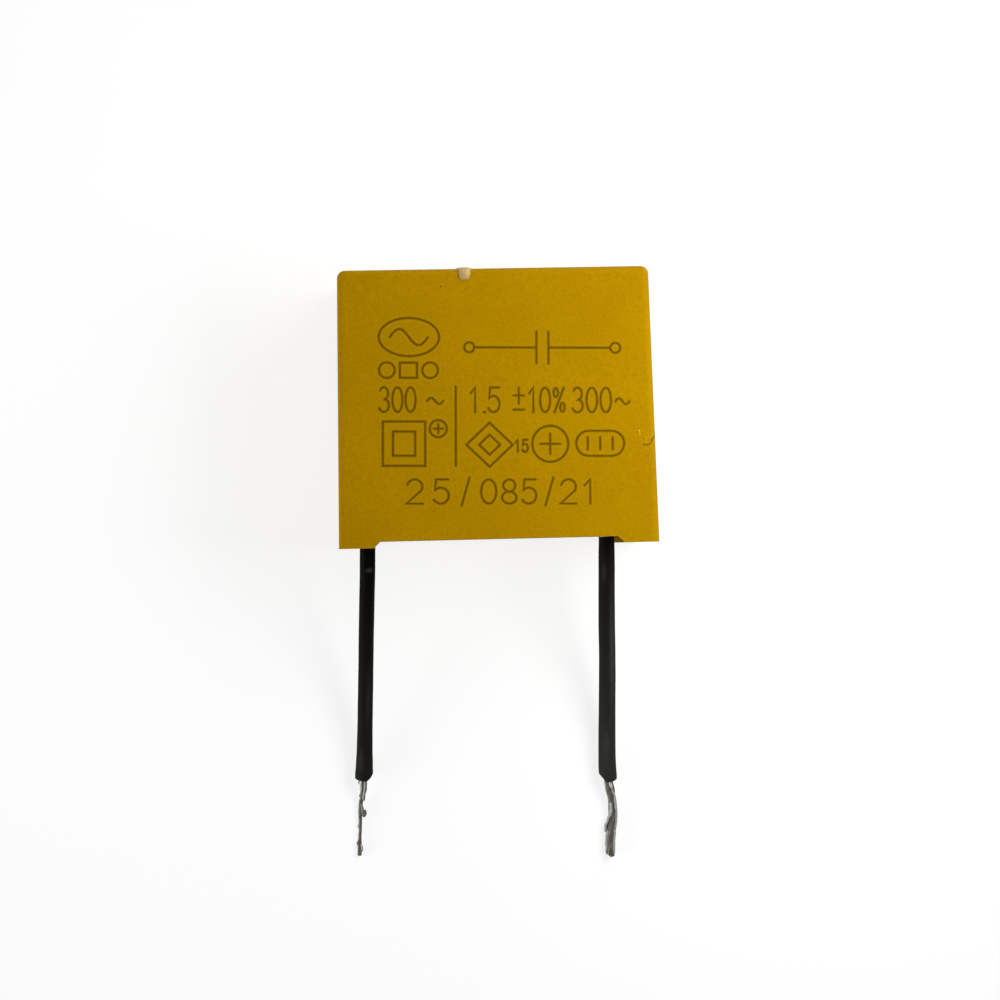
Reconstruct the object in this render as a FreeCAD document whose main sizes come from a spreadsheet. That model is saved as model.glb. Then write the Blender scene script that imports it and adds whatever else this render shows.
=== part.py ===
# Box film capacitor with two flexible insulated leads, lying on its back face.
#
# The case, its filling and the winding are drawn standing on the case's feet: X along the
# width, Y through the thickness with the printed face at -Y, Z up from the feet. One placement
# then lays them on the back face: the printed face looks up, the closed top of the case
# points along +Y and the leads leave along -Y. The leads are drawn where they lie.

import FreeCAD, Part
import math
import os
import Sketcher
from FreeCAD import Placement, Rotation, Vector

doc = FreeCAD.newDocument("film_capacitor")


# Sizes, in millimetres and degrees

SIZES = (
    ("case_width", 32.0, "outside width at the open end"),
    ("case_height", 27.7, "feet to closed top"),
    ("case_thickness", 18.0, "outside thickness at the open end"),
    ("draft_angle", 0.85, "taper of every wall towards the closed top"),
    ("wall", 1.0, "side walls"),
    ("roof", 1.0, "closed top"),
    ("edge_radius", 0.8, "outside edges"),
    ("cavity_radius", 0.5, "inside edges"),
    ("foot_width", 3.45, "foot along the width, at its bottom"),
    ("foot_height", 0.67, "feet below the cut-back long walls"),
    ("foot_flank", 0.7, "sloped flank of a foot, along the width"),
    ("resin_depth", 1.0, "feet to the resin where it meets the walls"),
    ("dish_margin", 0.9, "wall to the start of the sunk resin face"),
    ("dish_depth", 0.25, "how far the resin face has sunk"),
    ("dish_angle", 60.0, "flank of the sunk face, from upright"),
    ("winding_cover", 5.0, "resin below the winding"),
    ("roof_room", 1.0, "resin above the winding"),
    ("side_room", 0.6, "resin beside the winding at its tightest"),
    ("end_room", 2.48, "resin between a metal end and the case wall"),
    ("spray_thickness", 0.5, "sprayed metal end"),
    ("cap_radius", 2.0, "foot print of a solder cap"),
    ("cap_crown", 1.0, "flat top of a solder cap, as a radius"),
    ("cap_rise", 1.3, "height of a solder cap"),
    ("cap_level", 8.4, "feet to the middle of the solder caps"),
    ("wire_overlap", 1.0, "wire beyond the middle of its solder cap"),
    ("solder_film", 0.1, "solder between wire and metal end"),
    ("conductor_diameter", 0.76, "stranded wire"),
    ("insulation_diameter", 1.65, "outside of the insulation"),
    ("insulation_lead_in", 0.8, "insulation held in the resin"),
    ("way_out", 2.8, "feet to where the right lead starts its way out"),
    ("elbow", 5.4, "feet to where the right lead leaves its metal end"),
    ("right_exit_inset", 4.35, "right lead to the right side"),
    ("left_insulated", 26.82, "insulated length outside the resin"),
    ("right_insulated", 27.82, "insulated length outside the resin"),
    ("bead_inset", 13.12, "glue bead to the left side"),
    ("bead_radius", 0.62, "glue bead, a drop"),
    ("bead_drop", 1.1, "how far the bead hangs down the printed face"),
    ("bead_stand", 0.55, "how far the bead stands off the printed face"),
)

# Sizes that follow from the others

FOLLOWING = (
    ("draft_taper", "tan(draft_angle * 1 deg)", "what a wall loses to its length"),
    ("cavity_width", "case_width - 2 * wall", "inside at the open end"),
    ("cavity_thickness", "case_thickness - 2 * wall", "inside at the open end"),
    ("cavity_height", "case_height - roof", "feet to the inside of the closed top"),
    ("notch_mouth", "case_width - 2 * foot_width", "between the feet, at their bottoms"),
    ("notch_floor", "notch_mouth - 2 * foot_flank", "between the feet, where they start"),
    ("filling_width", "cavity_width - 2 * resin_depth * draft_taper", "resin face"),
    ("filling_thickness", "cavity_thickness - 2 * resin_depth * draft_taper", "resin face"),
    ("dish_width", "cavity_width - 2 * dish_margin", "sunk part of the resin face"),
    ("dish_thickness", "cavity_thickness - 2 * dish_margin", "sunk part of the resin face"),
    ("dish_floor", "resin_depth + dish_depth", "feet to the sunk part"),
    ("spray_face", "cavity_width / 2 - end_room", "middle to the outside of a metal end"),
    ("film_edge", "spray_face - spray_thickness", "middle to the edge of the film"),
    ("winding_radius", "cavity_thickness / 2 - case_height * draft_taper - side_room", "bends"),
    ("lower_bend", "resin_depth + winding_cover + winding_radius", "feet to its centre"),
    ("upper_bend", "cavity_height - roof_room - winding_radius", "feet to its centre"),
)

sheet = doc.addObject("Spreadsheet::Sheet", "sizes")
rows = [(alias, str(value), meaning) for alias, value, meaning in SIZES]
rows += [(alias, f"={formula}", meaning) for alias, formula, meaning in FOLLOWING]
for row, (alias, content, meaning) in enumerate(rows, start=1):
    sheet.set(f"A{row}", meaning)
    sheet.set(f"B{row}", content)
    sheet.setAlias(f"B{row}", alias)
doc.recompute()


def size(alias):
    return float(sheet.get(alias))


half_width = size("case_width") / 2
half_thickness = size("case_thickness") / 2
top_half_thickness = half_thickness - size("case_height") * size("draft_taper")
outside_box = (size("case_width"), size("case_thickness"), size("case_height"))
inside_box = (size("cavity_width"), size("cavity_thickness"), size("cavity_height"))

# The back face drafts inwards, so the case turns a little past a right angle to lie flat.
lay_down = Placement(
    Vector(0, -size("case_height") / 2,
           half_thickness * math.cos(math.radians(size("draft_angle")))),
    Rotation(Vector(-1, 0, 0), 90 + size("draft_angle")),
)


# Drawing helpers

TOUCH = 0.01  # closer than this, two places count as the same


def origin_plane(body, role):
    return next(f for f in body.Origin.OriginFeatures if f.Role == role)


def new_body(label):
    body = doc.addObject("PartDesign::Body", label)
    body.Label = label
    body.Placement = lay_down
    return body


def new_sketch(body, name, role, offset=None):
    sketch = body.newObject("Sketcher::SketchObject", name)
    sketch.AttachmentSupport = [(origin_plane(body, role), "")]
    sketch.MapMode = "FlatFace"
    if offset:
        sketch.setExpression("AttachmentOffset.Base.z", offset)
    return sketch


def closed_polygon(sketch, corners):
    count = len(corners)
    for i in range(count):
        start = Vector(*corners[i], 0)
        end = Vector(*corners[(i + 1) % count], 0)
        sketch.addGeometry(Part.LineSegment(start, end), False)
    for i in range(count):
        sketch.addConstraint(Sketcher.Constraint("Coincident", i, 2, (i + 1) % count, 1))


def span(sketch, direction, first, second, alias):
    """Holds the distance between two sketch points to a size of the sheet."""
    index = sketch.addConstraint(
        Sketcher.Constraint(f"Distance{direction}", *first, *second, size(alias)))
    sketch.setExpression(f"Constraints[{index}]", f"sizes.{alias}")


def tapered_block(body, kind, name, width, thickness, low, high, taper):
    """A block, added or taken away, that narrows evenly from one height up to another."""
    block = body.newObject(f"PartDesign::{kind}Wedge", name)
    block.AttachmentSupport = [(origin_plane(body, "XY_Plane"), "")]
    block.MapMode = "FlatFace"
    block.AttachmentOffset = Placement(Vector(), Rotation(Vector(1, 0, 0), 90))
    block.setExpression("Ymin", low)
    block.setExpression("Ymax", high)
    for axis, across in (("X", width), ("Z", thickness)):
        for end, sign in (("max", ""), ("min", "-")):
            block.setExpression(f"{axis}{end}", f"{sign}{across} / 2")
            block.setExpression(f"{axis}2{end}",
                                f"{sign}({across} / 2 - ({high} - {low}) * {taper})")
    doc.recompute()
    return block


def edges_within(feature, across, through, top):
    """The upright and top edges of a block that lie inside a box about the middle."""
    names = []
    base = feature.Shape.BoundBox.ZMin
    for number, edge in enumerate(feature.Shape.Edges, start=1):
        box = edge.BoundBox
        wide = max(-box.XMin, box.XMax) > across / 2 + TOUCH
        deep = max(-box.YMin, box.YMax) > through / 2 + TOUCH
        if base + TOUCH < box.ZMax < top + TOUCH and not wide and not deep:
            names.append(f"Edge{number}")
    return names


def rounded(body, name, feature, box, radius):
    fillet = body.newObject("PartDesign::Fillet", name)
    fillet.Base = (feature, edges_within(feature, *box))
    fillet.setExpression("Radius", radius)
    doc.recompute()


# Case: one moulding, open at the feet

case = new_body("case")
shell = tapered_block(case, "Additive", "shell", "sizes.case_width", "sizes.case_thickness",
                      "0", "sizes.case_height", "sizes.draft_taper")
rounded(case, "outside_edges", shell, outside_box, "sizes.edge_radius")
cavity = tapered_block(case, "Subtractive", "cavity", "sizes.cavity_width",
                       "sizes.cavity_thickness", "0", "sizes.cavity_height",
                       "sizes.draft_taper")
rounded(case, "inside_edges", cavity, inside_box, "sizes.cavity_radius")

# Both long walls are cut back between the feet, with a sloped flank at each foot.
notch_outline = new_sketch(case, "notch_outline", "XZ_Plane")
mouth = size("notch_mouth") / 2
floor = size("notch_floor") / 2
rise = size("foot_height")
closed_polygon(notch_outline, ((-mouth, 0), (mouth, 0), (floor, rise), (-floor, rise)))
notch_outline.addConstraint(Sketcher.Constraint("Horizontal", 0))
notch_outline.addConstraint(Sketcher.Constraint("Symmetric", 0, 1, 0, 2, -1, 1))
notch_outline.addConstraint(Sketcher.Constraint("Symmetric", 2, 1, 2, 2, -2))
span(notch_outline, "X", (0, 1), (0, 2), "notch_mouth")
span(notch_outline, "X", (2, 2), (2, 1), "notch_floor")
span(notch_outline, "Y", (1, 1), (1, 2), "foot_height")
notch = case.newObject("PartDesign::Pocket", "notch")
notch.Profile = notch_outline
notch.SideType = "Symmetric"
notch.setExpression("Length", "2 * sizes.case_thickness")
doc.recompute()


# Winding and its sprayed metal ends

def winding_slice(label, start, length):
    """A slice of the flattened winding, from a place along the width."""
    body = new_body(label)
    sketch = new_sketch(body, f"{label}_outline", "YZ_Plane", start)
    low = size("lower_bend")
    high = size("upper_bend")
    radius = size("winding_radius")
    sketch.addGeometry(Part.LineSegment(Vector(radius, low, 0), Vector(radius, high, 0)), False)
    upper = Part.Circle(Vector(0, high, 0), Vector(0, 0, 1), radius)
    sketch.addGeometry(Part.ArcOfCircle(upper, 0, math.pi), False)
    sketch.addGeometry(Part.LineSegment(Vector(-radius, high, 0), Vector(-radius, low, 0)), False)
    lower = Part.Circle(Vector(0, low, 0), Vector(0, 0, 1), radius)
    sketch.addGeometry(Part.ArcOfCircle(lower, math.pi, 2 * math.pi), False)
    sketch.addConstraint(Sketcher.Constraint("Tangent", 0, 2, 1, 1))
    sketch.addConstraint(Sketcher.Constraint("Tangent", 1, 2, 2, 1))
    sketch.addConstraint(Sketcher.Constraint("Tangent", 2, 2, 3, 1))
    sketch.addConstraint(Sketcher.Constraint("Tangent", 3, 2, 0, 1))
    sketch.addConstraint(Sketcher.Constraint("PointOnObject", 1, 3, -2))
    sketch.addConstraint(Sketcher.Constraint("PointOnObject", 3, 3, -2))
    span(sketch, "X", (1, 3), (1, 1), "winding_radius")
    span(sketch, "Y", (-1, 1), (3, 3), "lower_bend")
    span(sketch, "Y", (-1, 1), (1, 3), "upper_bend")
    pad = body.newObject("PartDesign::Pad", f"{label}_pad")
    pad.Profile = sketch
    pad.setExpression("Length", length)
    doc.recompute()
    return body


film_winding = winding_slice("film_winding", "-sizes.film_edge", "2 * sizes.film_edge")
end_spray_left = winding_slice("end_spray_left", "-sizes.spray_face", "sizes.spray_thickness")
end_spray_right = winding_slice("end_spray_right", "sizes.film_edge", "sizes.spray_thickness")


# Leads: straight runs joined by tangent arcs

# Each lead lies on these points: along the width and along the length from where it leaves
# the resin, and the height above what the capacitor lies on.
LEFT_ROUTE = (
    (-0.08, -2.90, 8.90),
    (-0.40, -13.35, 4.00),
    (-0.74, -23.55, 1.00),
    (-1.52, -33.70, 0.41),
)
RIGHT_ROUTE = (
    (-0.02, -3.60, 8.88),
    (0.40, -13.15, 4.15),
    (0.46, -23.75, 1.00),
    (0.68, -34.65, 0.42),
)
ARC_SHARE = 0.45


def inside_case(x, y, z):
    """A point given in the standing case, where it lies once the case is laid down."""
    return lay_down.multVec(Vector(x, y, z))


wire_x = size("spray_face") + size("solder_film") + size("conductor_diameter") / 2
wire_end = size("cap_level") + size("wire_overlap")

# The left lead leaves its metal end straight. The right one turns inwards below the winding.
LEFT_START = (inside_case(-wire_x, 0, wire_end),)
RIGHT_START = (
    inside_case(wire_x, 0, wire_end),
    inside_case(wire_x, 0, size("elbow")),
    inside_case(half_width - size("right_exit_inset"), 0, size("way_out")),
)


def rounded_route(label, points):
    """The edges of a route: runs joined by arcs as large as the runs allow."""
    edges = []
    radii = []
    here = points[0]
    for before, corner, after in zip(points, points[1:], points[2:]):
        incoming = (corner - before).normalize()
        outgoing = (after - corner).normalize()
        half_turn = incoming.getAngle(outgoing) / 2
        reach = ARC_SHARE * min((corner - before).Length, (after - corner).Length)
        radius = reach / math.tan(half_turn)
        inward = (outgoing - incoming).normalize()
        start = corner - incoming * reach
        end = corner + outgoing * reach
        middle = corner + inward * (radius / math.cos(half_turn) - radius)
        edges.append(Part.LineSegment(here, start).toShape())
        edges.append(Part.Arc(start, middle, end).toShape())
        radii.append(radius)
        here = end
    edges.append(Part.LineSegment(here, points[-1]).toShape())
    print(label, "bend radii in mm:", " ".join(f"{radius:.1f}" for radius in radii))
    return edges


def stretch_of(edges, first, last):
    """The part of a route between two distances along it."""
    kept = []
    passed = 0.0
    for edge in edges:
        start = max(first - passed, 0.0)
        end = min(last - passed, edge.Length)
        if end - start > 1e-6:
            low = edge.getParameterByLength(start)
            high = edge.getParameterByLength(end)
            kept.append(edge.Curve.toShape(low, high))
        passed += edge.Length
    return kept


def distance_to_level(edges, level_y):
    """How far along a route, which leads towards -Y, it comes to a place on that axis."""
    passed = 0.0
    for edge in edges:
        start_y = edge.valueAt(edge.FirstParameter).y
        end_y = edge.valueAt(edge.LastParameter).y
        if end_y <= level_y:
            return passed + edge.Length * (start_y - level_y) / (start_y - end_y)
        passed += edge.Length
    raise ValueError("the route never comes to that place")


def tube(label, edges, diameter_alias):
    """A round rod along a route, its diameter taken from the sheet."""
    path = doc.addObject("Part::Feature", f"{label}_path")
    path.Shape = Part.Wire(edges)
    start = edges[0]
    ring = doc.addObject("Part::Circle", f"{label}_ring")
    ring.setExpression("Radius", f"sizes.{diameter_alias} / 2")
    towards = start.tangentAt(start.FirstParameter)
    ring.Placement = Placement(start.valueAt(start.FirstParameter),
                               Rotation(Vector(0, 0, 1), towards))
    rod = doc.addObject("Part::Sweep", label)
    rod.Sections = [ring]
    rod.Spine = (path, [f"Edge{number}" for number in range(1, len(edges) + 1)])
    rod.Solid = True
    rod.Frenet = False
    rod.Transition = "Transformed"
    doc.recompute()
    section = math.pi * size(diameter_alias) ** 2 / 4
    expected = section * sum(edge.Length for edge in edges)
    if abs(rod.Shape.Volume - expected) > 0.01 * expected:
        raise ValueError(f"{label} holds {rod.Shape.Volume:.2f} mm3, not {expected:.2f}")
    return rod


def cut(label, base, tools):
    """A base with what lies in it taken out, face to face."""
    tool = tools[0]
    if len(tools) > 1:
        tool = doc.addObject("Part::MultiFuse", f"{label}_room")
        tool.Shapes = list(tools)
    result = doc.addObject("Part::Cut", label)
    result.Label = label
    result.Base = base
    result.Tool = tool
    doc.recompute()
    return result


def lead(name, start, route):
    """The conductor of a lead, its whole covering rod and the insulation between them."""
    leave = inside_case(start[-1].x, 0, size("resin_depth"))
    points = list(start)
    points += [Vector(leave.x + along, leave.y + out, height) for along, out, height in route]
    edges = rounded_route(name, points)
    at_exit = distance_to_level(edges, leave.y)
    whole = sum(edge.Length for edge in edges)
    print(f"{name} runs {whole - at_exit:.2f} mm out of the resin")
    conductor = tube(f"lead_conductor_{name}", edges, "conductor_diameter")
    covered = stretch_of(edges, at_exit - size("insulation_lead_in"),
                         at_exit + size(f"{name}_insulated"))
    covering = tube(f"covering_{name}", covered, "insulation_diameter")
    insulation = cut(f"lead_insulation_{name}", covering, [conductor])
    return conductor, covering, insulation


lead_conductor_left, covering_left, lead_insulation_left = lead("left", LEFT_START, LEFT_ROUTE)
lead_conductor_right, covering_right, lead_insulation_right = lead(
    "right", RIGHT_START, RIGHT_ROUTE)


# Solder caps, one over each wire on its metal end

def solder_cap(name, side):
    cap = doc.addObject("Part::Cone", f"cap_{name}")
    cap.setExpression("Radius1", "sizes.cap_radius")
    cap.setExpression("Radius2", "sizes.cap_crown")
    cap.setExpression("Height", "sizes.cap_rise")
    doc.recompute()
    local = Placement(Vector(side * size("spray_face"), 0, size("cap_level")),
                      Rotation(Vector(0, 1, 0), side * 90))
    cap.Placement = lay_down.multiply(local)
    return cap


cap_left = solder_cap("left", -1)
cap_right = solder_cap("right", 1)
solder_joint_left = cut("solder_joint_left", cap_left, [lead_conductor_left])
solder_joint_right = cut("solder_joint_right", cap_right, [lead_conductor_right])


# Potting resin: fills the case round everything, with a slightly sunk face between the feet

resin_block = new_body("resin_block")
filling = tapered_block(resin_block, "Additive", "filling", "sizes.filling_width",
                        "sizes.filling_thickness", "sizes.resin_depth", "sizes.cavity_height",
                        "sizes.draft_taper")
rounded(resin_block, "filling_edges", filling, inside_box, "sizes.cavity_radius")
tapered_block(resin_block, "Subtractive", "dish", "sizes.dish_width", "sizes.dish_thickness",
              "sizes.resin_depth", "sizes.dish_floor", "tan(sizes.dish_angle * 1 deg)")

potting_resin = cut("potting_resin", resin_block, [
    film_winding, end_spray_left, end_spray_right, cap_left, cap_right,
    lead_conductor_left, lead_conductor_right, covering_left, covering_right])


# Glue bead: a drop that hangs over the top edge of the printed face

drop = doc.addObject("Part::Sphere", "bead_drop")
drop.setExpression("Radius", "sizes.bead_radius")
drop_centre = Vector(
    size("bead_inset") - half_width,
    size("bead_radius") - size("bead_stand") - top_half_thickness,
    size("case_height") + size("bead_radius") - size("bead_drop"),
)
drop.Placement = lay_down.multiply(Placement(drop_centre, Rotation()))
glue_bead = cut("glue_bead", drop, [case])


# Check and write

PARTS = (
    case, potting_resin, film_winding, end_spray_left, end_spray_right,
    solder_joint_left, solder_joint_right, lead_conductor_left, lead_conductor_right,
    lead_insulation_left, lead_insulation_right, glue_bead,
)

doc.recompute()
for item in doc.Objects:
    if "Invalid" in item.State or "Error" in item.State:
        raise RuntimeError(f"{item.Label} did not recompute: {item.State}")
for item in PARTS:
    if item.Shape.isNull() or not item.Shape.isValid() or len(item.Shape.Solids) != 1:
        raise RuntimeError(f"{item.Label} is not one valid solid")

os.makedirs("parts", exist_ok=True)
for item in PARTS:
    item.Shape.exportStep(f"parts/{item.Label}.step")
    print(f"{item.Label}: {item.Shape.Volume:.1f} mm3")
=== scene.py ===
"""Looks of a box film capacitor that lies on its back, with two insulated leads.

X runs along the width of the printed face, Y from the feet to the closed top and Z up. Tables
and sizes are in millimetres and turn into metres where a mesh is made.
"""

import math
from bisect import bisect_right

import bpy
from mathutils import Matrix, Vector, noise
from mathutils.geometry import delaunay_2d_cdt


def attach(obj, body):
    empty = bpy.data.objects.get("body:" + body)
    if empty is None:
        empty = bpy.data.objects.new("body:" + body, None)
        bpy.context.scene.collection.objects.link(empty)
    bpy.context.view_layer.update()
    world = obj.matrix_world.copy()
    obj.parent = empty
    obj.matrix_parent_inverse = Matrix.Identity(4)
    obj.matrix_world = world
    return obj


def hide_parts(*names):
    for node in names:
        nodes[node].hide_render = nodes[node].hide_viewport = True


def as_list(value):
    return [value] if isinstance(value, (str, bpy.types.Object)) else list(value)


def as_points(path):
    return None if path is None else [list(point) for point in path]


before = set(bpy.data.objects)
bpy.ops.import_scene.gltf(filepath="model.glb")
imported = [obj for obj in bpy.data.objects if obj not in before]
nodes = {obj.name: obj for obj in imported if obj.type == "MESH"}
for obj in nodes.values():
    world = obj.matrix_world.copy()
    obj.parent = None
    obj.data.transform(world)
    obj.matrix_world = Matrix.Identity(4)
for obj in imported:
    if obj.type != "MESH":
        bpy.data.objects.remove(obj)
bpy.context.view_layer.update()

MM = 0.001


# Sizes of the case, as in the solids

CASE_WIDTH = 32.0
CASE_HEIGHT = 27.7
CASE_THICKNESS = 18.0
DRAFT = math.radians(0.85)
EDGE_RADIUS = 0.8
RESIN_DEPTH = 1.0
DISH_DEPTH = 0.25
SLEEVE_RADIUS = 0.825


# Camera, fitted to the outline of the case: place in millimetres, turn in degrees

CAMERA_PLACE = (-15.940, -10.118, 257.434)
CAMERA_TURN = (0.3032, -3.8182, -1.3085)
CAMERA_LENS = 87.006

camera_data = bpy.data.cameras.new("camera")
camera_data.lens = CAMERA_LENS
camera_data.clip_start = 0.01
camera_data.clip_end = 10.0
camera = bpy.data.objects.new("camera", camera_data)
camera.location = Vector(CAMERA_PLACE) * MM
camera.rotation_euler = [math.radians(angle) for angle in CAMERA_TURN]
bpy.context.scene.collection.objects.link(camera)
bpy.context.scene.camera = camera


# Materials

class Look:
    """A material in the making: its principled shader and the textures that drive it."""

    def __init__(self, name, **settings):
        self.material = bpy.data.materials.new(name)
        self.material.use_nodes = True
        self.tree = self.material.node_tree
        self.shader = self.tree.nodes["Principled BSDF"]
        self.places = self.tree.nodes.new("ShaderNodeTexCoord").outputs["Object"]
        for setting, value in settings.items():
            self.shader.inputs[setting.replace("_", " ")].default_value = value

    def new(self, kind):
        return self.tree.nodes.new(f"ShaderNode{kind}")

    def join(self, output, socket):
        self.tree.links.new(output, socket)

    def grain(self, size, detail=3.0, roughness=0.5, stretch=None):
        """Noise with features of about a size in millimetres, from 0 to 1."""
        texture = self.new("TexNoise")
        texture.inputs["Scale"].default_value = 1.0 / (size * MM)
        texture.inputs["Detail"].default_value = detail
        texture.inputs["Roughness"].default_value = roughness
        places = self.places
        if stretch:
            mapping = self.new("Mapping")
            mapping.inputs["Scale"].default_value = stretch
            self.join(places, mapping.inputs["Vector"])
            places = mapping.outputs["Vector"]
        self.join(places, texture.inputs["Vector"])
        return texture.outputs["Fac"]

    def painted(self, attribute):
        """A number that the mesh itself carries at its points."""
        reader = self.new("Attribute")
        reader.attribute_name = attribute
        return reader.outputs["Fac"]

    def spread(self, factor, low, high, start=0.3, stop=0.7):
        """Turns a factor between start and stop into a number between low and high."""
        remap = self.new("MapRange")
        for socket, value in zip(("From Min", "From Max", "To Min", "To Max"),
                                 (start, stop, low, high)):
            remap.inputs[socket].default_value = value
        self.join(factor, remap.inputs["Value"])
        return remap.outputs["Result"]

    def blend(self, factor, first, second):
        """A colour between two, each a colour or another blend."""
        mix = self.new("Mix")
        mix.data_type = "RGBA"
        self.join(factor, mix.inputs["Factor"])
        for socket, colour in ((mix.inputs[6], first), (mix.inputs[7], second)):
            if isinstance(colour, tuple):
                socket.default_value = (*colour, 1.0)
            else:
                self.join(colour, socket)
        return mix.outputs[2]

    def mottle(self, factor, first, second, start=0.3, stop=0.7):
        """A colour that wanders between two as a grain does."""
        return self.blend(self.spread(factor, 0.0, 1.0, start, stop), first, second)

    def relief(self, *layers):
        """Bumps of several grains, each with its height in millimetres."""
        normal = None
        for factor, height in layers:
            bump = self.new("Bump")
            bump.inputs["Distance"].default_value = height * MM
            self.join(factor, bump.inputs["Height"])
            if normal:
                self.join(normal, bump.inputs["Normal"])
            normal = bump.outputs["Normal"]
        self.join(normal, self.shader.inputs["Normal"])

    def colour(self, output):
        self.join(output, self.shader.inputs["Base Color"])

    def roughness(self, output):
        self.join(output, self.shader.inputs["Roughness"])


YELLOW_TINT = (1.0, 0.72, 0.03, 1.0)


def moulded_plastic():
    look = Look("case_plastic", Specular_IOR_Level=0.025, Specular_Tint=YELLOW_TINT)
    cloud = look.grain(7.0, detail=2.0)
    fine = look.grain(0.28, detail=4.0, roughness=0.6)
    body = look.mottle(cloud, (0.39, 0.208, 0.0004), (0.43, 0.235, 0.0004))
    look.colour(look.blend(look.spread(fine, 0.0, 0.66), body, (0.285, 0.150, 0.0003)))
    look.roughness(look.spread(fine, 0.40, 0.54))
    look.relief((cloud, 0.02), (fine, 0.004))
    return look.material


def cast_resin():
    look = Look("resin", Specular_IOR_Level=0.3)
    cloud = look.grain(3.0, detail=3.0)
    speck = look.grain(0.12, detail=2.0)
    body = look.mottle(cloud, (0.47, 0.33, 0.10), (0.53, 0.39, 0.135), 0.15, 0.85)
    look.colour(look.mottle(speck, body, (0.33, 0.22, 0.06), 0.62, 0.75))
    look.roughness(look.spread(cloud, 0.22, 0.34))
    look.relief((cloud, 0.008), (speck, 0.002))
    return look.material


def wound_film():
    look = Look("film", Metallic=0.6)
    turns = look.grain(0.12, detail=2.0, stretch=(0.02, 1.0, 1.0))
    look.colour(look.mottle(turns, (0.42, 0.44, 0.47), (0.60, 0.62, 0.64)))
    look.roughness(look.spread(turns, 0.22, 0.36))
    look.relief((turns, 0.01))
    return look.material


def sprayed_zinc():
    look = Look("sprayed_metal", Metallic=0.8)
    grit = look.grain(0.15, detail=4.0, roughness=0.7)
    look.colour(look.mottle(grit, (0.22, 0.22, 0.23), (0.38, 0.38, 0.40)))
    look.roughness(look.spread(grit, 0.55, 0.8))
    look.relief((grit, 0.06))
    return look.material


def dull_solder():
    look = Look("solder", Metallic=0.9)
    cloud = look.grain(0.6, detail=3.0)
    look.colour(look.mottle(cloud, (0.30, 0.30, 0.29), (0.46, 0.46, 0.45)))
    look.roughness(look.spread(cloud, 0.3, 0.5))
    look.relief((cloud, 0.02))
    return look.material


def tinned_copper():
    """Tinned strands, grey round the sides and darker brown on top: partly flux stain, partly
    painted shade placed by the angle round the strand.
    """
    look = Look("tinned_wire", Metallic=0.7)
    streak = look.grain(0.22, detail=3.0, roughness=0.6, stretch=(1.0, 0.25, 1.0))
    tin = look.mottle(streak, (0.13, 0.13, 0.12), (0.23, 0.235, 0.215))
    shaded_flux = look.mottle(streak, (0.044, 0.037, 0.032), (0.094, 0.084, 0.074))
    # Grey tin blends into darker brown by the mesh's numbers: flux stain together with painted
    # shade, darkest on top.
    look.colour(look.blend(look.painted("stain"), tin, shaded_flux))
    look.roughness(look.spread(streak, 0.32, 0.55))
    look.relief((streak, 0.03))
    return look.material


def grey_strand(name, dark, pale):
    look = Look(name, Metallic=0.75)
    streak = look.grain(0.2, detail=3.0, stretch=(1.0, 0.3, 1.0))
    look.colour(look.mottle(streak, dark, pale))
    look.roughness(look.spread(streak, 0.42, 0.60))
    look.relief((streak, 0.02))
    return look.material


def black_sleeve(name, dark, dusty):
    """Satin insulation, darker near the case as painted shade and paler towards the cut end, with
    rubbed places and painted highlight streaks where the mesh says so.
    """
    look = Look(name, Specular_IOR_Level=0.015)
    fine = look.grain(0.18, detail=4.0, roughness=0.6, stretch=(1.0, 0.5, 1.0))
    clean = look.mottle(fine, dark, tuple(1.5 * part for part in dark))
    # Painted shade: the dark colour near the case, where its shadow falls, turns paler towards the
    # cut end.
    body = look.blend(look.painted("dust"), clean, dusty)
    # Rubbed places and painted highlight streaks, paler grey on the black.
    look.colour(look.blend(look.painted("rub"), body, (0.075, 0.072, 0.068)))
    look.roughness(look.spread(fine, 0.42, 0.6))
    look.relief((fine, 0.006))
    return look.material


def printing_ink(name, dark, pale):
    look = Look(name, Roughness=0.6, Specular_IOR_Level=0.02, Specular_Tint=YELLOW_TINT)
    patch = look.grain(0.35, detail=4.0, roughness=0.65)
    look.colour(look.mottle(patch, dark, pale))
    return look.material


def set_glue():
    look = Look("glue", Roughness=0.3, Specular_IOR_Level=0.2, Subsurface_Weight=0.35,
                Subsurface_Radius=(0.8, 0.6, 0.3), Subsurface_Scale=0.4 * MM)
    cloud = look.grain(0.5, detail=3.0)
    look.colour(look.mottle(cloud, (0.41, 0.28, 0.105), (0.50, 0.385, 0.165)))
    look.relief((cloud, 0.02))
    return look.material


case_plastic = moulded_plastic()
resin = cast_resin()
tinned_wire = tinned_copper()
# Copies of one strand tin at several brightnesses; the brightest, on strands by the sleeve ends,
# is a painted highlight.
tin_painted_highlight = grey_strand("tin_painted_highlight", (0.27, 0.27, 0.235), (0.48, 0.48, 0.42))
grey_tin = grey_strand("grey_tin", (0.15, 0.155, 0.145), (0.28, 0.29, 0.27))
dark_tin = grey_strand("dark_tin", (0.085, 0.085, 0.075), (0.17, 0.17, 0.15))
brown_tin = grey_strand("brown_tin", (0.060, 0.050, 0.042), (0.110, 0.098, 0.086))
pale_tin = grey_strand("pale_tin", (0.18, 0.19, 0.175), (0.31, 0.32, 0.30))
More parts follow.
